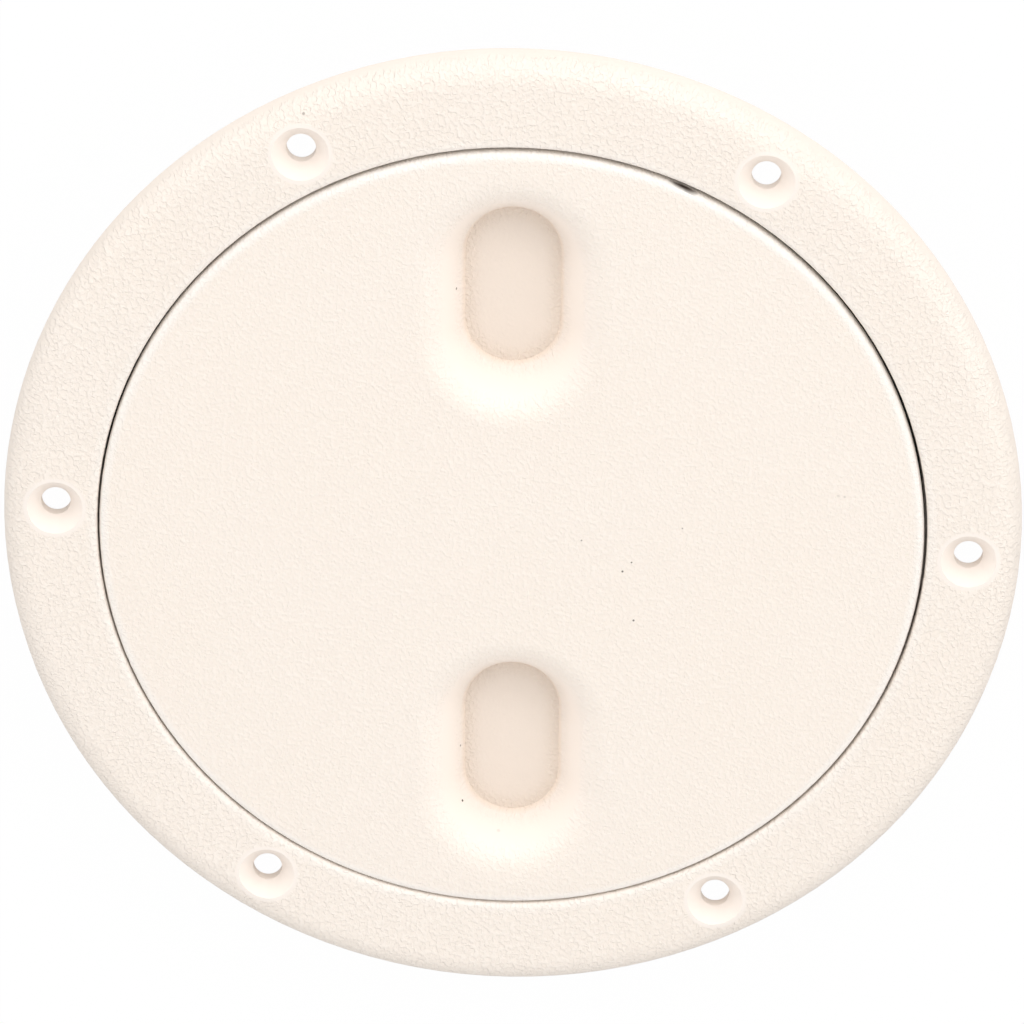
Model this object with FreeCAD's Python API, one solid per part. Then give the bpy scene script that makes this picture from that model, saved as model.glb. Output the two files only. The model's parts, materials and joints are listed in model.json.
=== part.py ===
"""Screw-out deck inspection plate: a countersunk mounting ring, a lid that screws into it and a rubber seal.

Millimetres. The deck surface is the plane z = 0 and +Z points out of the deck. The origin is the centre of the
screw circle on that plane, with one screw hole on +X. Everything under z = 0 hangs in the deck's cut-out.
"""
import os
from math import cos, radians, sin, tan

import FreeCAD
import Part

V = FreeCAD.Vector
AXIS = V(0, 0, 1)
ORIGIN = V(0, 0, 0)

# Recess of the mounting ring that the lid's rim drops into, the size that such a plate is chosen by
RECESS_RADIUS = 82.68
RECESS_LIP_ROUND = 1.2
RECESS_LIP_FLAT_COUNT = 2

# Flange round the recess, its outer edge a quarter round down to the deck
FLANGE_WIDTH = 18.92
FLANGE_THICKNESS = 6.0
FLANGE_EDGE_FLAT_COUNT = 4

# Screw holes, countersunk from the face
SCREW_COUNT = 6
SCREW_EDGE_DISTANCE = 10.47
SCREW_HOLE_RADIUS = 2.95
COUNTERSINK_RADIUS = 5.6
COUNTERSINK_DEPTH = 3.6

# Spigot that centres the ring in the deck's cut-out, with the seal's ledge inside it
SPIGOT_WALL = 3.32
LEDGE_WIDTH = 4.08
LEDGE_THICKNESS = 3.0

# Threaded collar of the ring, under the ledge
COLLAR_WALL = 2.8
COLLAR_TAIL = 2.6

# Coarse single-start right-hand thread, a trapezoid ridge on each piece
THREAD_LEAD = 6.0
RIDGE_HEIGHT = 2.0
RIDGE_ROOT_WIDTH = 3.6
RIDGE_CREST_WIDTH = 2.0
RIDGE_EMBED = 0.4
RIDGE_RUNOUT_DEPTH = 0.2
RUNOUT_CUT_RADIUS = 40.0
THREAD_RADIAL_GAP = 0.6
THREAD_DROP = 4.96
RING_THREAD_TURNS = 2.0
LID_THREAD_TURNS = 1.25

# Lid, flush with the flange's face when it is closed
RIM_GAP = 0.5
RIM_THICKNESS = 3.4
RIM_EDGE_ROUND = 1.6
RIM_EDGE_FLAT_COUNT = 2
LID_PLATE_THICKNESS = 3.0
SKIRT_WALL = 2.6
SKIRT_TAIL = 2.6
NECK_SHOULDER = 1.5

# Where the closed lid has stopped: its turn against the ring and its sideways play in the thread
LID_TURN_DEG = 2.9
LID_PLAY_X = -0.10
LID_PLAY_Y = -0.30

# Two finger pockets in the lid, obround, with sloping walls and a rolled mouth
POCKET_INSET = 32.48
POCKET_FLOOR_HALF_WIDTH = 9.5
POCKET_FLOOR_STRAIGHT = 14.0
POCKET_DEPTH = 11.5
POCKET_WALL_ANGLE_DEG = 62.0
POCKET_MOUTH_ROUND = 6.5
POCKET_MOUTH_FLAT_COUNT = 3
POCKET_SHELL = 2.5

# Square-cut rubber seal round the lid's neck, seated on the ring's ledge under the lid's rim
SEAL_SECTION = 3.0
SEAL_SIDE_GAP = 0.36
SEAT_CLEARANCE = 0.02

# Radii that follow from the sizes above
FLANGE_RADIUS = RECESS_RADIUS + FLANGE_WIDTH
SCREW_CIRCLE_RADIUS = FLANGE_RADIUS - SCREW_EDGE_DISTANCE
SPIGOT_RADIUS = RECESS_RADIUS + SPIGOT_WALL
COLLAR_BORE_RADIUS = RECESS_RADIUS - LEDGE_WIDTH
COLLAR_RADIUS = COLLAR_BORE_RADIUS + COLLAR_WALL
RIM_RADIUS = RECESS_RADIUS - RIM_GAP
SEAL_OUTER_RADIUS = RECESS_RADIUS - SEAL_SIDE_GAP
SEAL_INNER_RADIUS = SEAL_OUTER_RADIUS - SEAL_SECTION
NECK_RADIUS = SEAL_INNER_RADIUS - SEAT_CLEARANCE
SKIRT_RADIUS = COLLAR_BORE_RADIUS - RIDGE_HEIGHT - THREAD_RADIAL_GAP
POCKET_CENTRE_RADIUS = RIM_RADIUS - POCKET_INSET

# Heights that follow from the sizes above
FACE_Z = FLANGE_THICKNESS
RIM_UNDERSIDE_Z = FACE_Z - RIM_THICKNESS
SEAL_TOP_Z = RIM_UNDERSIDE_Z - SEAT_CLEARANCE
SEAL_BOTTOM_Z = SEAL_TOP_Z - SEAL_SECTION
LEDGE_Z = SEAL_BOTTOM_Z - SEAT_CLEARANCE
RING_THREAD_TOP = LEDGE_Z - THREAD_DROP
RING_THREAD_BOTTOM = RING_THREAD_TOP - RING_THREAD_TURNS * THREAD_LEAD
COLLAR_BOTTOM_Z = RING_THREAD_BOTTOM - COLLAR_TAIL
LID_THREAD_BOTTOM = RING_THREAD_BOTTOM + THREAD_LEAD / 2
SKIRT_BOTTOM_Z = LID_THREAD_BOTTOM - SKIRT_TAIL
POCKET_FLOOR_Z = FACE_Z - POCKET_DEPTH


class Section:
    """Half section in the plane y = 0, drawn as a pen line in (radius, height) and spun about Z."""

    def __init__(self, radius, height):
        self.start = V(radius, 0, height)
        self.here = self.start
        self.edges = []

    def to(self, radius, height):
        """Draws a straight edge."""
        there = V(radius, 0, height)
        self.edges.append(Part.makeLine(self.here, there))
        self.here = there

    def round_to(self, radius, height, centre_radius, centre_height, flats):
        """Draws the short arc to a point about a centre, as equal flats."""
        centre = V(centre_radius, 0, centre_height)
        first = self.here - centre
        last = V(radius, 0, height) - centre
        turn = first.getAngle(last)
        for step in range(1, flats + 1):
            share = step / flats
            arm = (first * sin(turn * (1 - share)) + last * sin(turn * share)) / sin(turn)
            self.to(centre.x + arm.x, centre.z + arm.z)

    def spin(self):
        """Closes the section and spins it into a solid."""
        self.to(self.start.x, self.start.z)
        return Part.Face(Part.Wire(self.edges)).revolve(ORIGIN, AXIS, 360)


def ring_body():
    """Flange, lid recess, ledge, spigot and plain collar as one section."""
    edge = FLANGE_THICKNESS
    lip = RECESS_LIP_ROUND
    section = Section(FLANGE_RADIUS, 0)
    section.round_to(FLANGE_RADIUS - edge, FACE_Z, FLANGE_RADIUS - edge, 0, FLANGE_EDGE_FLAT_COUNT)
    section.to(RECESS_RADIUS + lip, FACE_Z)
    section.round_to(RECESS_RADIUS, FACE_Z - lip, RECESS_RADIUS + lip, FACE_Z - lip, RECESS_LIP_FLAT_COUNT)
    section.to(RECESS_RADIUS, LEDGE_Z)
    section.to(COLLAR_BORE_RADIUS, LEDGE_Z)
    section.to(COLLAR_BORE_RADIUS, COLLAR_BOTTOM_Z)
    section.to(COLLAR_RADIUS, COLLAR_BOTTOM_Z)
    section.to(COLLAR_RADIUS, LEDGE_Z - LEDGE_THICKNESS)
    section.to(SPIGOT_RADIUS, LEDGE_Z - LEDGE_THICKNESS)
    section.to(SPIGOT_RADIUS, 0)
    return section.spin()


def screw_hole_cutter():
    """Plain hole with its countersink, at the origin of the hole."""
    over = 1.0
    slope = (COUNTERSINK_RADIUS - SCREW_HOLE_RADIUS) / COUNTERSINK_DEPTH
    section = Section(0, -over)
    section.to(SCREW_HOLE_RADIUS, -over)
    section.to(SCREW_HOLE_RADIUS, FACE_Z - COUNTERSINK_DEPTH)
    section.to(COUNTERSINK_RADIUS + slope * over, FACE_Z + over)
    section.to(0, FACE_Z + over)
    return section.spin()


def helical_ridge(root_radius, outward, low_z, turns):
    """Trapezoid ridge on a helix. It rises from the root radius outward (+1) or inward (-1)."""
    flank = (RIDGE_ROOT_WIDTH - RIDGE_CREST_WIDTH) / 2 / RIDGE_HEIGHT
    foot = root_radius - outward * RIDGE_EMBED
    crest = root_radius + outward * RIDGE_HEIGHT
    foot_half = RIDGE_ROOT_WIDTH / 2 + flank * RIDGE_EMBED
    crest_half = RIDGE_CREST_WIDTH / 2
    corners = [V(foot, 0, -foot_half), V(crest, 0, -crest_half), V(crest, 0, crest_half), V(foot, 0, foot_half)]
    outline = Part.makePolygon(corners + corners[:1])
    helix = Part.makeHelix(THREAD_LEAD, THREAD_LEAD * turns, root_radius)
    ridge = Part.Wire(helix).makePipeShell([outline], True, True)
    ridge.translate(V(0, 0, low_z))
    return ridge


def at_turn(shape, turns, low_z):
    """Moves a run-out cutter along the helix to one end of a ridge."""
    shape.rotate(ORIGIN, AXIS, 360.0 * turns)
    shape.translate(V(0, 0, low_z + THREAD_LEAD * turns))
    return shape


def ring_thread():
    """Female ridge inside the collar, its lower end on +X. Round cuts let both ends run out into the bore."""
    ridge = helical_ridge(COLLAR_BORE_RADIUS, -1, RING_THREAD_BOTTOM, RING_THREAD_TURNS)
    centre = COLLAR_BORE_RADIUS + RIDGE_RUNOUT_DEPTH - RUNOUT_CUT_RADIUS
    for turns in (0, RING_THREAD_TURNS):
        cutter = Part.makeCylinder(RUNOUT_CUT_RADIUS, THREAD_LEAD, V(centre, 0, -THREAD_LEAD / 2))
        ridge = ridge.cut(at_turn(cutter, turns, RING_THREAD_BOTTOM))
    return ridge


def lid_thread():
    """Male ridge on the skirt, in mesh half a lead away. Flat cuts let both ends run out into the skirt."""
    ridge = helical_ridge(SKIRT_RADIUS, 1, LID_THREAD_BOTTOM, LID_THREAD_TURNS)
    flat = SKIRT_RADIUS - RIDGE_RUNOUT_DEPTH
    for turns in (0, LID_THREAD_TURNS):
        corner = V(flat, -RUNOUT_CUT_RADIUS, -THREAD_LEAD / 2)
        cutter = Part.makeBox(2 * RIDGE_HEIGHT, 2 * RUNOUT_CUT_RADIUS, THREAD_LEAD, corner)
        ridge = ridge.cut(at_turn(cutter, turns, LID_THREAD_BOTTOM))
    return ridge


def mounting_ring():
    """Ring that is screwed to the deck."""
    ring = ring_body()
    cutter = screw_hole_cutter()
    holes = []
    for index in range(SCREW_COUNT):
        hole = cutter.copy()
        hole.translate(V(SCREW_CIRCLE_RADIUS, 0, 0))
        hole.rotate(ORIGIN, AXIS, index * 360.0 / SCREW_COUNT)
        holes.append(hole)
    ring = ring.cut(Part.makeCompound(holes))
    ring = ring.fuse(ring_thread())
    return ring.removeSplitter()


def lid_body():
    """Plate, rim, neck and skirt of the lid as one section."""
    edge = RIM_EDGE_ROUND
    plate_z = FACE_Z - LID_PLATE_THICKNESS
    neck_low_z = LEDGE_Z + NECK_SHOULDER
    section = Section(0, FACE_Z)
    section.to(RIM_RADIUS - edge, FACE_Z)
    section.round_to(RIM_RADIUS, FACE_Z - edge, RIM_RADIUS - edge, FACE_Z - edge, RIM_EDGE_FLAT_COUNT)
    section.to(RIM_RADIUS, RIM_UNDERSIDE_Z)
    section.to(NECK_RADIUS, RIM_UNDERSIDE_Z)
    section.to(NECK_RADIUS, neck_low_z)
    section.to(SKIRT_RADIUS, neck_low_z - (NECK_RADIUS - SKIRT_RADIUS))
    section.to(SKIRT_RADIUS, SKIRT_BOTTOM_Z)
    section.to(SKIRT_RADIUS - SKIRT_WALL, SKIRT_BOTTOM_Z)
    section.to(SKIRT_RADIUS - SKIRT_WALL, plate_z)
    section.to(0, plate_z)
    return section.spin()


def obround(half_width, straight, height):
    """Obround wire at a height, its straight sides along Y."""
    low = -straight / 2
    high = straight / 2
    right = Part.makeLine(V(half_width, low, height), V(half_width, high, height))
    top = Part.Arc(V(half_width, high, height), V(0, high + half_width, height), V(-half_width, high, height))
    left = Part.makeLine(V(-half_width, high, height), V(-half_width, low, height))
    bottom = Part.Arc(V(-half_width, low, height), V(0, low - half_width, height), V(half_width, low, height))
    return Part.Wire([right, top.toShape(), left, bottom.toShape()])


def pocket_outline(grow, height):
    """Obround outline of the sloping pocket wall at a height, grown outward by a wall thickness."""
    run = (height - POCKET_FLOOR_Z) / tan(radians(POCKET_WALL_ANGLE_DEG))
    return obround(POCKET_FLOOR_HALF_WIDTH + grow + run, POCKET_FLOOR_STRAIGHT, height)


def pocket_hollow():
    """Hollow of a pocket: floor, sloping wall and a mouth that rolls over into the lid's face in equal flats."""
    slope = radians(POCKET_WALL_ANGLE_DEG)
    top_z = FACE_Z - POCKET_MOUTH_ROUND * (1 - cos(slope))
    wall_half = POCKET_FLOOR_HALF_WIDTH + (top_z - POCKET_FLOOR_Z) / tan(slope)
    wires = [pocket_outline(0, POCKET_FLOOR_Z)]
    for step in range(POCKET_MOUTH_FLAT_COUNT + 1):
        lean = slope * (1 - step / POCKET_MOUTH_FLAT_COUNT)
        half = wall_half + POCKET_MOUTH_ROUND * (sin(slope) - sin(lean))
        wires.append(obround(half, POCKET_FLOOR_STRAIGHT, FACE_Z - POCKET_MOUTH_ROUND * (1 - cos(lean))))
    return Part.makeLoft(wires, True, True)


def pocket_shell():
    """Outside of a pocket under the lid."""
    grow = POCKET_SHELL / sin(radians(POCKET_WALL_ANGLE_DEG))
    low = pocket_outline(grow, POCKET_FLOOR_Z - POCKET_SHELL)
    high = pocket_outline(grow, FACE_Z - LID_PLATE_THICKNESS + RIDGE_EMBED)
    return Part.makeLoft([low, high], True, True)


def both_pockets(block):
    """The same block at the two ends of the lid's grip line, along Y."""
    far = block.copy()
    far.translate(V(0, POCKET_CENTRE_RADIUS, 0))
    near = block.copy()
    near.translate(V(0, -POCKET_CENTRE_RADIUS, 0))
    return [far, near]


def screw_lid():
    """Lid with its two finger pockets, as closed in the ring."""
    lid = lid_body()
    for shell in both_pockets(pocket_shell()):
        lid = lid.fuse(shell)
    for hollow in both_pockets(pocket_hollow()):
        lid = lid.cut(hollow)
    lid.rotate(ORIGIN, AXIS, LID_TURN_DEG)
    lid = lid.fuse(lid_thread())
    lid.translate(V(LID_PLAY_X, LID_PLAY_Y, 0))
    return lid.removeSplitter()


def o_ring():
    """Seal round the lid's neck, which carries it."""
    section = Section(SEAL_INNER_RADIUS, SEAL_BOTTOM_Z)
    section.to(SEAL_OUTER_RADIUS, SEAL_BOTTOM_Z)
    section.to(SEAL_OUTER_RADIUS, SEAL_TOP_Z)
    section.to(SEAL_INNER_RADIUS, SEAL_TOP_Z)
    seal = section.spin()
    seal.translate(V(LID_PLAY_X, LID_PLAY_Y, 0))
    return seal


def main():
    os.makedirs("parts", exist_ok=True)
    for name, shape in (("mounting_ring", mounting_ring()), ("screw_lid", screw_lid()), ("o_ring", o_ring())):
        shape = shape.Solids[0] if shape.Solids else shape
        box = shape.BoundBox
        print(name, shape.ShapeType, "valid", shape.isValid(), "volume", round(shape.Volume))
        print("  x", round(box.XMin, 2), round(box.XMax, 2), "z", round(box.ZMin, 2), round(box.ZMax, 2))
        shape.exportStep("parts/" + name + ".step")


main()
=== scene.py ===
"""Dresses the deck inspection plate: a leather-grained moulded ring and lid with a black rubber seal."""
import json
import logging
from dataclasses import dataclass
from enum import Enum
from math import cos, hypot, pi, radians, sin
from typing import Any, Dict, Sequence, Tuple, Union

import bmesh
import bpy
from mathutils import Matrix, Vector

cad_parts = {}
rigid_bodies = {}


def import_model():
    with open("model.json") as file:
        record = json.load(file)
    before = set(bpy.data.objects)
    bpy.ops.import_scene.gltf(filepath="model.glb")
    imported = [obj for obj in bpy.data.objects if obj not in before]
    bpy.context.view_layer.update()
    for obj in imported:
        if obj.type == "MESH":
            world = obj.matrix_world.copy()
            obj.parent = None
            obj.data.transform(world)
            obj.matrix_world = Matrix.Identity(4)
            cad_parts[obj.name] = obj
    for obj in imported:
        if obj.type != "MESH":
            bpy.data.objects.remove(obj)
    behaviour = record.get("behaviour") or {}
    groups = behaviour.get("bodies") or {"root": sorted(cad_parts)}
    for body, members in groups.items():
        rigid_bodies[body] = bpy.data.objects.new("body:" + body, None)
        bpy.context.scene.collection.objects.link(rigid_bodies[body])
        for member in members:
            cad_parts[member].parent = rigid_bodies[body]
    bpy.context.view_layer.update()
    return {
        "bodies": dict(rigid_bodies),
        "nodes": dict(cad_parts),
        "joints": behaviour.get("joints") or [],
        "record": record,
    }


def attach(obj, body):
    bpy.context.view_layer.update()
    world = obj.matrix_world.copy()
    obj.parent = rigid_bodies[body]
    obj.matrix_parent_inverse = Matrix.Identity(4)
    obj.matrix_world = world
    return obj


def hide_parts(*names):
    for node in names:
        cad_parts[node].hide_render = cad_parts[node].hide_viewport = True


MM = 0.001
# Height of the plate's face over the deck, in millimetres.
FACE_Z = 6.0
# Points of the CAD mesh nearer to each other than this are one point, in millimetres.
MERGE_DISTANCE = 0.002
# How far past a rolled edge the edges of its flats still count as part of it, in millimetres.
ROUND_MARGIN = 0.2
BONE_WHITE = "F9EEE3"
BURNT_BROWN = "3A2818"
Socket = bpy.types.NodeSocket
Tree = bpy.types.NodeTree
Inputs = Union[Dict[str, Any], Sequence[Any]]
log = logging.getLogger("deck_plate")


def linear(hex_colour: str) -> Tuple[float, float, float, float]:
    """Turns an sRGB hex colour into linear RGBA.

    Args:
        hex_colour: Six hex digits.

    Returns:
        Linear red, green and blue, and an alpha of 1.
    """
    out = []
    for start in (0, 2, 4):
        value = int(hex_colour[start:start + 2], 16) / 255
        out.append(value / 12.92 if value <= 0.04045 else ((value + 0.055) / 1.055) ** 2.4)
    return (out[0], out[1], out[2], 1.0)


def add(tree: Tree, kind: str, inputs: Inputs = (), **settings: Any) -> Sequence[Socket]:
    """Adds a shader node with its settings, values and links.

    Args:
        tree: Node tree that gets the node.
        kind: Type name of the node, without its leading ShaderNode.
        inputs: Numbers, colours or sockets to link, by input name or in the order of the inputs.
        settings: Attributes of the node.

    Returns:
        The node's outputs.
    """
    node = tree.nodes.new("ShaderNode" + kind)
    for name, value in settings.items():
        setattr(node, name, value)
    for key, value in inputs.items() if isinstance(inputs, dict) else enumerate(inputs):
        if isinstance(value, Socket):
            tree.links.new(value, node.inputs[key])
        else:
            node.inputs[key].default_value = value
    return node.outputs


def millimetres(tree: Tree) -> Socket:
    """Adds the place on the object in millimetres of the row frame."""
    place = add(tree, "TexCoord")["Object"]
    return add(tree, "VectorMath", {"Vector": place, "Scale": 1 / MM}, operation="SCALE")[0]


def new_material(name: str) -> Tuple[bpy.types.Material, Tree]:
    """Makes an empty node material.

    Args:
        name: Name of the material.

    Returns:
        The material and its node tree.
    """
    material = bpy.data.materials.new(name)
    material.use_nodes = True
    material.node_tree.nodes.clear()
    return material, material.node_tree


class Patch(Enum):
    """Where a grained moulding was left smooth in the mould."""

    COUNTERSINKS = "round the six countersunk screw holes"
    POCKETS = "in the two finger pockets"


@dataclass(frozen=True)
class Speck:
    """A dark fleck of burnt resin or dirt in the surface.

    Place and radius are in millimetres, strength and softness are shares.
    """

    place: Tuple[float, float, float]
    radius: float = 0.2
    strength: float = 0.85
    softness: float = 0.4


LID_SPECKS = (
    Speck((-13.75, 48.93, -2.41), 0.24),
    Speck((-7.84, -52.15, -3.90)),
    Speck((-6.79, -63.41, -1.59), 0.24, 1.0),
    Speck((0.87, -69.05, -0.23), 0.35, 0.15),
    Speck((22.47, -6.56, FACE_Z)),
    Speck((24.15, -4.47, FACE_Z), 0.16),
    Speck((25.31, -17.20, FACE_Z)),
    Speck((13.93, -0.30, FACE_Z), 0.17, 0.6),
    Speck((33.82, 3.63, FACE_Z), 0.17, 0.5),
    Speck((64.20, 12.70, FACE_Z), 0.30, 0.18),
    Speck((65.50, 12.60, FACE_Z), 0.26, 0.18),
)
RING_SPECKS = (Speck((-45.31, 87.26, 5.24), 0.3, 0.5),)
# Dark balls with their middles outside the lid, so that only a bite of each is seen on its rim, painted
# dark beside the slit: a long bite, and a shorter one over its right half.
RIM_DARK_BITES = (
    Speck((37.48, 98.12, 10.0), 24.0, 1.0, 0.005),
    Speck((35.12, 86.00, 9.0), 12.0, 1.0, 0.01),
)


@dataclass(frozen=True)
class LeatherGrainAbs:
    """ABS, injection-moulded in a mould with an etched leather grain, satin.

    The grain breaks the light into soft wrinkled pebbles with fine ridges, their tops painted paler as a
    painted highlight. Smooth patches are painted paler, a painted highlight, and the pockets' floors are
    painted deeper in colour, painted shade for light that reaches them by way of the walls, darker still at
    their foot. The edge along the slit is painted bright, a painted highlight. Sizes are in millimetres,
    and the two numbers of a span are where its share is least and where it is full.
    """

    name: str
    colour: str
    pebble: float
    relief: float
    smooth: Patch
    spacing: float
    patch_span: Tuple[float, float]
    # Where and how strongly a painted highlight pales the edge along the slit.
    rim_highlight_span: Tuple[float, float]
    rim_highlight_share: float
    specks: Tuple[Speck, ...]
    turn_deg: float = 0.0
    play: Tuple[float, float] = (0.0, 0.0)
    hole_count: int = 6
    face_span: Tuple[float, float] = (1.5, 3.0)
    # The resin's mottling and shine. The warmth is the share of green and blue left in a warm patch.
    mottle_patch: float = 33.0
    mottle_span: Tuple[float, float] = (0.35, 0.7)
    warmth: Tuple[float, float] = (0.996, 0.99)
    roughness: float = 0.42
    roughness_swing: float = 0.12
    shine_patch: float = 4.0
    # The grain, in pebbles: its ridges' share of painted highlight and steep sides, and how often, how far
    # and how high they fold.
    # Colour of the painted highlights, on the ridges' tops and along the slit.
    painted_highlight_colour: str = "FFFCF8"
    ridge_highlight_share: float = 0.1
    ridge_span: Tuple[float, float] = (0.3, 0.68)
    fold_rate: float = 1.1
    fold_bend: float = 1.1
    fold_height: float = 1.5
    # The pockets: depths under the face, heights over their floor, and reaches from their middle line.
    # Paler colour painted on the pockets' smooth walls and round the countersinks: a painted highlight.
    smooth_highlight_colour: str = "FAF0E7"
    # Deeper colour painted on the pockets' floors: painted shade for light that reaches them by way of the
    # walls.
    floor_shade_colour: str = "FAECDF"
    # Darker colour painted along the floors' edges: painted shade in the corners at the walls' foot.
    corner_shade_colour: str = "EAD3BB"
    pocket_straight: float = 14.0
    pocket_depth: float = 11.5
    pocket_reach: float = 16.5
    floor_margin: float = 0.5
    # Depths under the face over which the walls' painted highlight comes in.
    wall_highlight_depths: Tuple[float, float] = (0.4, 3.0)
    # Heights over the floor over which the floors' painted shade comes in.
    floor_shade_heights: Tuple[float, float] = (1.5, 0.1)
    # Reach and share of the painted corner shade along the floors' edges.
    corner_shade_reach: Tuple[float, float] = (5.5, 9.5)
    corner_shade_share: float = 0.2
    foot_heights: Tuple[float, float] = (5.0, 2.0)
    foot_reach: Tuple[float, float] = (5.5, 9.0)
    foot_grain: Tuple[float, float] = (0.3, 1.2)

    def build(self) -> bpy.types.Material:
        """Builds the material with its grain, smooth patches, specks and faint mottling.

        Returns:
            The material.
        """
        material, tree = new_material(self.name)
        place = millimetres(tree)
        apart = add(tree, "SeparateXYZ", (place,))
        reach = self.patch_distance(tree, apart)
        low, high = self.patch_span
        patch = {"Value": reach, "From Min": low, "From Max": high}
        grained = add(tree, "MapRange", patch, interpolation_type="SMOOTHSTEP")[0]
        bottom, top = self.face_span
        fade = {"Value": apart[2], "From Min": bottom, "From Max": top}
        above = add(tree, "MapRange", fade, interpolation_type="SMOOTHSTEP")[0]
        mask = add(tree, "Math", (grained, above), operation="MULTIPLY")[0]
        if self.smooth is Patch.POCKETS:
            mask = add(tree, "Math", (mask, self.foot_share(tree, apart, reach)), operation="MAXIMUM")[0]
        height, ridge = self.grain(tree, place)
        relief = {"Height": height, "Strength": mask, "Distance": self.relief * MM}
        bump = add(tree, "Bump", relief)[0]
        shine = add(tree, "TexNoise", {"Vector": place, "Scale": 1 / self.shine_patch, "Detail": 2.0})[0]
        least = self.roughness - self.roughness_swing / 2
        rough = add(tree, "Math", (shine, self.roughness_swing, least), operation="MULTIPLY_ADD")[0]
        tint = self.resin_tint(tree, place, ridge, mask)
        # Painted highlight along the slit.
        tint = self.painted_rim_highlight(tree, place, above, tint)
        if self.smooth is Patch.POCKETS:
            tint = self.pocket_tint(tree, apart, reach, tint)
        else:
            # The smooth patches round the countersinks painted paler: a painted highlight.
            tint = add(tree, "MixRGB", (grained, linear(self.smooth_highlight_colour), tint))[0]
        tint = self.specked(tree, place, tint)
        surface = {"Base Color": tint, "Roughness": rough, "Normal": bump, "IOR": 1.54}
        shader = add(tree, "BsdfPrincipled", surface)[0]
        add(tree, "OutputMaterial", (shader,))
        return material

    def resin_tint(self, tree: Tree, place: Socket, ridge: Socket, mask: Socket) -> Socket:
        """Adds the resin's own colour with faint mottling, and a painted highlight that pales the ridges'
        tops.

        Args:
            tree: Node tree of the material.
            place: Place on the piece in millimetres.
            ridge: How near a ridge's top is.
            mask: Share of grain, 0 on the smooth patches and below the face.

        Returns:
            Socket with the colour.
        """
        patches = {"Vector": place, "Scale": 1 / self.mottle_patch, "Detail": 1.0}
        mottle = add(tree, "TexNoise", patches)[0]
        least, most = self.mottle_span
        warm = add(tree, "MapRange", {"Value": mottle, "From Min": least, "From Max": most})[0]
        colour = add(tree, "MixRGB", (warm, linear(self.colour), self.warmer()))[0]
        shown = add(tree, "Math", (ridge, mask), operation="MULTIPLY")[0]
        # Ridge tops painted paler: a painted highlight.
        ridge_highlight = add(tree, "Math", (shown, self.ridge_highlight_share), operation="MULTIPLY")[0]
        return add(tree, "MixRGB", (ridge_highlight, colour, linear(self.painted_highlight_colour)))[0]

    def painted_rim_highlight(self, tree: Tree, place: Socket, above: Socket, colour: Socket) -> Socket:
        """Adds a painted highlight: a paler band along the slit between ring and lid.

        Args:
            tree: Node tree of the material.
            place: Place on the piece in millimetres.
            above: Share that is 1 near the face and 0 under it.
            colour: Colour so far.

        Returns:
            Socket with the colour.
        """
        flat = add(tree, "VectorMath", (place, (1.0, 1.0, 0.0)), operation="MULTIPLY")[0]
        radius = add(tree, "VectorMath", (flat, (*self.play, 0.0)), operation="DISTANCE")["Value"]
        start, full = self.rim_highlight_span
        span = {"Value": radius, "From Min": start, "From Max": full, "To Max": self.rim_highlight_share}
        pale = add(tree, "MapRange", span)[0]
        shown = add(tree, "Math", (pale, above), operation="MULTIPLY")[0]
        return add(tree, "MixRGB", (shown, colour, linear(self.painted_highlight_colour)))[0]

    def specked(self, tree: Tree, place: Socket, colour: Socket) -> Socket:
        """Adds the dark specks and bites.

        Args:
            tree: Node tree of the material.
            place: Place on the piece in millimetres.
            colour: Colour so far.

        Returns:
            Socket with the colour.
        """
        for speck in self.specks:
            gap = add(tree, "VectorMath", (place, speck.place), operation="DISTANCE")["Value"]
            edge, core = speck.radius * (1.0 + speck.softness), speck.radius * (1.0 - speck.softness)
            fade = {"Value": gap, "From Min": edge, "From Max": core, "To Max": speck.strength}
            dark = add(tree, "MapRange", fade)[0]
            colour = add(tree, "MixRGB", (dark, colour, linear(BURNT_BROWN)))[0]
        return colour

    def pocket_tint(self, tree: Tree, apart: Sequence[Socket], reach: Socket, colour: Socket) -> Socket:
        """Adds painted highlight on the pockets' walls and painted shade on their floors, darkest at the
        foot.

        Args:
            tree: Node tree of the material.
            apart: The x, y and z of the place.
            reach: Distance from the pocket's middle line in millimetres.
            colour: Colour so far.

        Returns:
            Socket with the colour.
        """
        # Walls painted paler: a painted highlight.
        wall = self.below(tree, apart, reach, self.wall_highlight_depths)
        colour = add(tree, "MixRGB", (wall, colour, linear(self.smooth_highlight_colour)))[0]
        # Floors painted deeper in colour: painted shade.
        floor = self.below(tree, apart, reach, self.depths_at(self.floor_shade_heights))
        colour = add(tree, "MixRGB", (floor, colour, linear(self.floor_shade_colour)))[0]
        # Floors' edges painted darker still: painted shade in the corners at the walls' foot.
        start, full = self.corner_shade_reach
        corner = {"Value": reach, "From Min": start, "From Max": full, "To Max": self.corner_shade_share}
        corner_shade = add(tree, "MapRange", corner, interpolation_type="SMOOTHSTEP")[0]
        foot = add(tree, "Math", (floor, corner_shade), operation="MULTIPLY")[0]
        return add(tree, "MixRGB", (foot, colour, linear(self.corner_shade_colour)))[0]

    def foot_share(self, tree: Tree, apart: Sequence[Socket], reach: Socket) -> Socket:
        """Adds the share of grain at the foot of the pockets' walls, where the polish ran out.

        Args:
            tree: Node tree of the material.
            apart: The x, y and z of the place.
            reach: Distance from the pocket's middle line in millimetres.

        Returns:
            Socket with the share.
        """
        deep = self.below(tree, apart, reach, self.depths_at(self.foot_heights))
        (start, full), (least, most) = self.foot_reach, self.foot_grain
        edge = {"Value": reach, "From Min": start, "From Max": full, "To Min": least, "To Max": most}
        rough = add(tree, "MapRange", edge, interpolation_type="SMOOTHSTEP")[0]
        return add(tree, "Math", (deep, rough), operation="MULTIPLY")[0]

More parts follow.
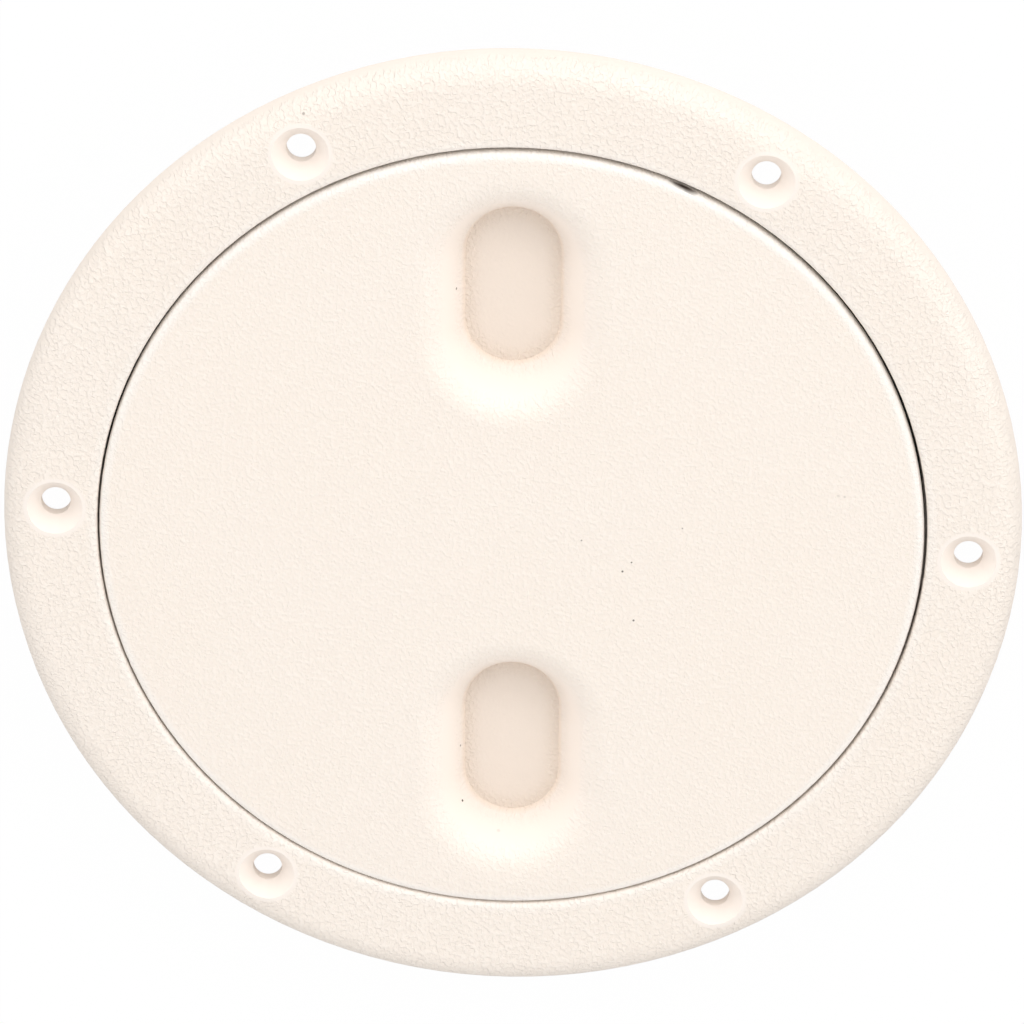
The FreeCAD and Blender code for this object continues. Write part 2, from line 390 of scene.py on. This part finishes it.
    def below(
        self, tree: Tree, apart: Sequence[Socket], reach: Socket, depths: Tuple[float, float],
    ) -> Socket:
        """Adds a share that grows with depth inside a pocket and is 0 everywhere else.

        Args:
            tree: Node tree of the material.
            apart: The x, y and z of the place.
            reach: Distance from the pocket's middle line in millimetres.
            depths: Depths under the face at which the share is 0 and 1, in millimetres.

        Returns:
            Socket with the share.
        """
        start, end = depths
        depth = {"Value": apart[2], "From Min": FACE_Z - start, "From Max": FACE_Z - end}
        share = add(tree, "MapRange", depth)[0]
        lowest = FACE_Z - self.pocket_depth - self.floor_margin
        above = add(tree, "Math", (apart[2], lowest), operation="GREATER_THAN")[0]
        beside = add(tree, "Math", (reach, self.pocket_reach), operation="LESS_THAN")[0]
        inside = add(tree, "Math", (above, beside), operation="MULTIPLY")[0]
        return add(tree, "Math", (share, inside), operation="MULTIPLY")[0]

    def depths_at(self, heights: Tuple[float, float]) -> Tuple[float, float]:
        """Turns two heights over the pockets' floor into depths under the face."""
        return (self.pocket_depth - heights[0], self.pocket_depth - heights[1])

    def warmer(self) -> Tuple[float, float, float, float]:
        """Works out the colour where the resin has mixed a shade warmer."""
        red, green, blue, alpha = linear(self.colour)
        return (red, green * self.warmth[0], blue * self.warmth[1], alpha)

    def grain(self, tree: Tree, place: Socket) -> Tuple[Socket, Socket]:
        """Adds the leather grain: small hollows between curled ridges with steep sides.

        Args:
            tree: Node tree of the material.
            place: Place on the piece in millimetres.

        Returns:
            Sockets with the height and with how near a ridge's top is, from 0 to 1.
        """
        wave = {"Vector": place, "Scale": self.fold_rate / self.pebble, "Detail": 1.0}
        folds = add(tree, "TexNoise", wave, noise_dimensions="2D")
        shift = {"Vector": folds["Color"], "Scale": self.fold_bend * self.pebble}
        bend = add(tree, "VectorMath", shift, operation="SCALE")[0]
        bent = add(tree, "VectorMath", (place, bend), operation="ADD")[0]
        cells = {"Vector": bent, "Scale": 1 / self.pebble}
        hollows = add(tree, "TexVoronoi", cells, voronoi_dimensions="2D")["Distance"]
        foot, top = self.ridge_span
        side = {"Value": hollows, "From Min": foot, "From Max": top}
        ridge = add(tree, "MapRange", side, interpolation_type="SMOOTHSTEP")[0]
        height = add(tree, "Math", (folds["Fac"], self.fold_height, ridge), operation="MULTIPLY_ADD")[0]
        return height, ridge

    def patch_distance(self, tree: Tree, apart: Sequence[Socket]) -> Socket:
        """Adds the distance from the nearest screw hole's axis or pocket's middle line.

        Args:
            tree: Node tree of the material.
            apart: The x, y and z of the place in millimetres.

        Returns:
            Socket with the distance in millimetres.
        """
        x, y = apart[0], apart[1]
        if self.smooth is Patch.COUNTERSINKS:
            angle = add(tree, "Math", (y, x), operation="ARCTAN2")[0]
            half = pi / self.hole_count
            sector = add(tree, "Math", (angle, half, -half), operation="WRAP")[0]
            flat = add(tree, "CombineXYZ", (x, y))[0]
            radius = add(tree, "VectorMath", (flat,), operation="LENGTH")["Value"]
            cosine = add(tree, "Math", (sector,), operation="COSINE")[0]
            sine = add(tree, "Math", (sector,), operation="SINE")[0]
            along = add(tree, "Math", (radius, cosine, -self.spacing), operation="MULTIPLY_ADD")[0]
            across = add(tree, "Math", (radius, sine), operation="MULTIPLY")[0]
        else:
            flat = add(tree, "CombineXYZ", (x, y))[0]
            turn = {"Vector": flat, "Center": (*self.play, 0.0), "Angle": -radians(self.turn_deg)}
            turned = add(tree, "VectorRotate", turn)[0]
            local = add(tree, "VectorMath", (turned, (*self.play, 0.0)), operation="SUBTRACT")[0]
            parts = add(tree, "SeparateXYZ", (local,))
            across = parts[0]
            up = add(tree, "Math", (parts[1],), operation="ABSOLUTE")[0]
            off = add(tree, "Math", (up, self.spacing), operation="SUBTRACT")[0]
            end = add(tree, "Math", (off,), operation="ABSOLUTE")[0]
            past = add(tree, "Math", (end, self.pocket_straight / 2), operation="SUBTRACT")[0]
            along = add(tree, "Math", (past, 0.0), operation="MAXIMUM")[0]
        offset = add(tree, "CombineXYZ", (across, along))[0]
        return add(tree, "VectorMath", (offset,), operation="LENGTH")["Value"]


@dataclass(frozen=True)
class MouldedRubber:
    """Nitrile rubber, moulded, matt black: it swallows nearly all light in the slit round the lid."""

    colour: str = "1A1A1B"
    bloom_colour: str = "262627"
    bloom_patch: float = 1.67

    def build(self) -> bpy.types.Material:
        """Builds the material with a faint bloom.

        Returns:
            The material.
        """
        material, tree = new_material("moulded_nitrile_rubber_black")
        patches = {"Vector": millimetres(tree), "Scale": 1 / self.bloom_patch, "Detail": 4.0}
        bloom = add(tree, "TexNoise", patches)[0]
        tint = add(tree, "MixRGB", (bloom, linear(self.colour), linear(self.bloom_colour)))[0]
        shader = add(tree, "BsdfPrincipled", {"Base Color": tint, "Roughness": 0.7, "IOR": 1.52})[0]
        add(tree, "OutputMaterial", (shader,))
        return material


@dataclass(frozen=True)
class PaleFloor:
    """Matt white studio floor. To the camera it is nearly white, with the object's shadow left faint."""

    colour: str = "C0C0C0"
    glow_share: float = 0.96
    glow_strength: float = 1.02

    def build(self) -> bpy.types.Material:
        """Builds the floor's material.

        Returns:
            The material.
        """
        material, tree = new_material("pale_floor")
        diffuse = add(tree, "BsdfDiffuse", {"Color": linear(self.colour)})[0]
        white = add(tree, "Emission", ((1, 1, 1, 1), self.glow_strength))[0]
        seen = add(tree, "LightPath")["Is Camera Ray"]
        share = add(tree, "Math", (seen, self.glow_share), operation="MULTIPLY")[0]
        mix = add(tree, "MixShader", (share, diffuse, white))[0]
        add(tree, "OutputMaterial", (mix,))
        return material


@dataclass
class MouldedPiece:
    """One moulding of the plate: the CAD node's own faces, merged, with their rounds shaded round."""

    node: str
    body: str
    slot: str
    name: str
    sharp_deg: float = 30.0
    # For the normals' weights, 50 is neutral, and more lets the large flat faces stay flat.
    large_face_weight: int = 80

    def build(self, frame: Dict[str, Any]) -> bpy.types.Object:
        """Builds the piece from its CAD node.


        Returns:
            The piece, riding on its body in the node's stead.
        """
        mesh = frame["nodes"][self.node].data.copy()
        mesh.name = self.name
        shape = bmesh.new()
        shape.from_mesh(mesh)
        bmesh.ops.remove_doubles(shape, verts=shape.verts, dist=MERGE_DISTANCE * MM)
        for face in shape.faces:
            face.smooth = True
        for edge in shape.edges:
            joined = len(edge.link_faces) == 2
            edge.smooth = joined and edge.calc_face_angle() < radians(self.limit_deg(edge))
        shape.to_mesh(mesh)
        shape.free()
        piece = bpy.data.objects.new(self.name, mesh)
        bpy.context.scene.collection.objects.link(piece)
        weighted = piece.modifiers.new("weighted_normals", "WEIGHTED_NORMAL")
        weighted.mode = "FACE_AREA"
        weighted.keep_sharp = True
        weighted.weight = self.large_face_weight
        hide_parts(self.node)
        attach(piece, self.body)
        return piece

    def limit_deg(self, edge: bmesh.types.BMEdge) -> float:
        """Gives the angle past which an edge stays sharp, here the same for every edge of the piece."""
        return self.sharp_deg

    def dress(self, piece: bpy.types.Object, material: bpy.types.Material) -> None:
        """Gives the piece its one material.

        Args:
            piece: The built piece.
            material: Its material.
        """
        piece.data.materials.clear()
        piece.data.materials.append(material)
        log.info("%s: %d faces, %s", piece.name, len(piece.data.polygons), material.name)


@dataclass
class MountingRing(MouldedPiece):
    """The ring that is screwed down, with a rolled lip round the lid's recess."""

    node: str = "mounting_ring"
    body: str = "frame"
    slot: str = "ring_abs"
    name: str = "ring_moulding"
    lip_radius: float = 82.68
    lip_round: float = 1.2
    lip_sharp_deg: float = 50.0
    # Painted highlight on the ring's lip along the slit, from where it starts to where it is full.
    rim_highlight_span: Tuple[float, float] = (85.0, 83.2)
    screw_circle_radius: float = 91.13
    countersink_span: Tuple[float, float] = (6.0, 6.7)

    def limit_deg(self, edge: bmesh.types.BMEdge) -> float:
        """Gives a wider angle on the lip, so that its two wide flats are shaded round.

        Args:
            edge: An edge of the ring, in metres.

        Returns:
            Angle in degrees past which the edge stays sharp.
        """
        middle = (edge.verts[0].co + edge.verts[1].co) / 2 / MM
        reach = hypot(middle.x, middle.y) - self.lip_radius
        high = middle.z > FACE_Z - self.lip_round - ROUND_MARGIN
        on_lip = high and -ROUND_MARGIN < reach < self.lip_round + ROUND_MARGIN
        return self.lip_sharp_deg if on_lip else self.sharp_deg


@dataclass
class ScrewLid(MouldedPiece):
    """The flush lid with its rolled rim and its two finger pockets."""

    node: str = "screw_lid"
    body: str = "lid"
    slot: str = "lid_abs"
    name: str = "lid_moulding"
    rim_radius: float = 82.18
    rim_round: float = 1.6
    rim_sharp_deg: float = 50.0
    # Painted highlight on the lid's rim along the slit, from where it starts to where it is full.
    rim_highlight_span: Tuple[float, float] = (80.0, 81.8)
    pocket_spacing: float = 49.7
    pocket_turn_deg: float = 2.9
    pocket_span: Tuple[float, float] = (13.0, 14.6)
    play: Tuple[float, float] = (-0.10, -0.30)

    def limit_deg(self, edge: bmesh.types.BMEdge) -> float:
        """Gives a wider angle on the rim, so that its two wide flats are shaded round.

        Args:
            edge: An edge of the lid, in metres.

        Returns:
            Angle in degrees past which the edge stays sharp.
        """
        middle = (edge.verts[0].co + edge.verts[1].co) / 2 / MM
        inside = self.rim_radius - hypot(middle.x - self.play[0], middle.y - self.play[1])
        high = middle.z > FACE_Z - self.rim_round - ROUND_MARGIN
        on_rim = high and inside < self.rim_round + ROUND_MARGIN
        return self.rim_sharp_deg if on_rim else self.sharp_deg


@dataclass
class Seal(MouldedPiece):
    """The square-cut rubber ring."""

    node: str = "o_ring"
    body: str = "seal"
    slot: str = "seal_rubber"
    name: str = "seal_ring"


@dataclass
class Studio:
    """Pale floor, soft light tent and the camera at the photograph's viewing angle.

    Lengths are in millimetres. The tent's strengths are those of its light, and its heights are those of
    the way that the light comes from, where 1 is straight above.
    """

    floor_z: float = -20.05
    floor_size: float = 4000.0
    tent_foot: float = 0.95
    tent_wall: float = 1.45
    tent_top: float = 0.25
    tent_wall_height: float = 0.35
    tent_roof_heights: Tuple[float, float] = (0.55, 0.97)
    near_azimuth_deg: float = 15.0
    near_gain: float = 0.24
    key_elevation_deg: float = 38.0
    key_distance: float = 1300.0
    key_size: float = 500.0
    key_watts: float = 2.5
    camera_tilt_deg: float = 24.64
    camera_roll_deg: float = -3.38
    camera_distance: float = 1659.0
    camera_slide: Tuple[float, float] = (0.209, -4.576)
    camera_lens: float = 293.1
    camera_sensor: float = 36.0
    camera_clip: float = 20000.0

    def build(self) -> None:
        """Builds the floor, the lights and the camera."""
        self.lay_floor()
        self.light_world()
        self.hang_key()
        self.stand_camera()

    def lay_floor(self) -> None:
        """Lays the floor under the collar."""
        shape = bmesh.new()
        bmesh.ops.create_grid(shape, x_segments=1, y_segments=1, size=self.floor_size / 2 * MM)
        bmesh.ops.translate(shape, verts=shape.verts, vec=(0, 0, self.floor_z * MM))
        mesh = bpy.data.meshes.new("floor")
        shape.to_mesh(mesh)
        shape.free()
        mesh.materials.append(PaleFloor().build())
        floor = bpy.data.objects.new("floor", mesh)
        bpy.context.scene.collection.objects.link(floor)

    def light_world(self) -> None:
        """Makes a white surround that lights the object as a soft tent, brightest on the near side."""
        world = bpy.data.worlds.new("light_tent")
        bpy.context.scene.world = world
        world.use_nodes = True
        tree = world.node_tree
        tree.nodes.clear()
        way = add(tree, "TexCoord")["Object"]
        height = add(tree, "SeparateXYZ", (way,))[2]
        top = self.tent_wall_height
        rise = {"Value": height, "From Max": top, "To Min": self.tent_foot, "To Max": self.tent_wall}
        wall = add(tree, "MapRange", rise, interpolation_type="SMOOTHSTEP")[0]
        start, full = self.tent_roof_heights
        fall = {"Value": height, "From Min": start, "From Max": full, "To Min": 1.0, "To Max": self.tent_top}
        roof = add(tree, "MapRange", fall, interpolation_type="SMOOTHSTEP")[0]
        level = add(tree, "Math", (wall, roof), operation="MULTIPLY")[0]
        azimuth = radians(self.near_azimuth_deg)
        toward = (sin(azimuth), cos(azimuth), 0.0)
        near = add(tree, "VectorMath", (way, toward), operation="DOT_PRODUCT")["Value"]
        strength = add(tree, "Math", (near, self.near_gain, level), operation="MULTIPLY_ADD")[0]
        tent = add(tree, "Background", ((1, 1, 1, 1), strength))[0]
        white = add(tree, "Background", ((1, 1, 1, 1), 1.0))[0]
        seen = add(tree, "LightPath")["Is Camera Ray"]
        mix = add(tree, "MixShader", (seen, tent, white))[0]
        add(tree, "OutputWorld", (mix,))

    def hang_key(self) -> None:
        """Hangs one soft key lamp over the plate's near side."""
        azimuth, elevation = radians(self.near_azimuth_deg), radians(self.key_elevation_deg)
        way = Vector((sin(azimuth) * cos(elevation), cos(azimuth) * cos(elevation), sin(elevation)))
        lamp = bpy.data.lights.new("key", "AREA")
        lamp.shape = "DISK"
        lamp.size = self.key_size * MM
        lamp.energy = self.key_watts
        key = bpy.data.objects.new("key", lamp)
        turn = way.to_track_quat("Z", "Y").to_matrix().to_4x4()
        key.matrix_world = Matrix.Translation(way * self.key_distance * MM) @ turn
        bpy.context.scene.collection.objects.link(key)

    def stand_camera(self) -> None:
        """Stands the long-lens camera over the near side, tilted and rolled as in the photograph."""
        lens = bpy.data.cameras.new("camera")
        lens.lens = self.camera_lens
        lens.sensor_width = self.camera_sensor
        lens.clip_end = self.camera_clip * MM
        camera = bpy.data.objects.new("camera", lens)
        back = Vector((-self.camera_slide[0], -self.camera_slide[1], self.camera_distance)) * MM
        tilt = Matrix.Rotation(radians(-self.camera_tilt_deg), 4, "X")
        roll = Matrix.Rotation(radians(-self.camera_roll_deg), 4, "Z")
        aim = Matrix.Translation((0, 0, FACE_Z * MM))
        camera.matrix_world = aim @ tilt @ Matrix.Translation(back) @ roll
        bpy.context.scene.collection.objects.link(camera)
        bpy.context.scene.camera = camera


def main() -> None:
    logging.basicConfig(level=logging.INFO, format="%(name)s %(message)s")
    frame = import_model()
    bpy.context.scene.view_settings.view_transform = "Standard"
    ring, lid, seal = MountingRing(), ScrewLid(), Seal()
    # The shares of 0.25 and 0.7 are the strengths of the painted highlight along the slit.
    coarse = LeatherGrainAbs(
        name="abs_leather_grain_coarse", colour=BONE_WHITE, pebble=0.88, relief=0.105,
        smooth=Patch.COUNTERSINKS, spacing=ring.screw_circle_radius, patch_span=ring.countersink_span,
        rim_highlight_span=ring.rim_highlight_span, rim_highlight_share=0.25, specks=RING_SPECKS,
    )
    fine = LeatherGrainAbs(
        name="abs_leather_grain_fine", colour=BONE_WHITE, pebble=0.74, relief=0.07,
        smooth=Patch.POCKETS, spacing=lid.pocket_spacing, patch_span=lid.pocket_span,
        rim_highlight_span=lid.rim_highlight_span, rim_highlight_share=0.7, specks=LID_SPECKS + RIM_DARK_BITES,
        turn_deg=lid.pocket_turn_deg, play=lid.play,
    )
    ring.dress(ring.build(frame), coarse.build())
    lid.dress(lid.build(frame), fine.build())
    seal.dress(seal.build(frame), MouldedRubber().build())
    Studio().build()


if __name__ == "__main__":
    main()
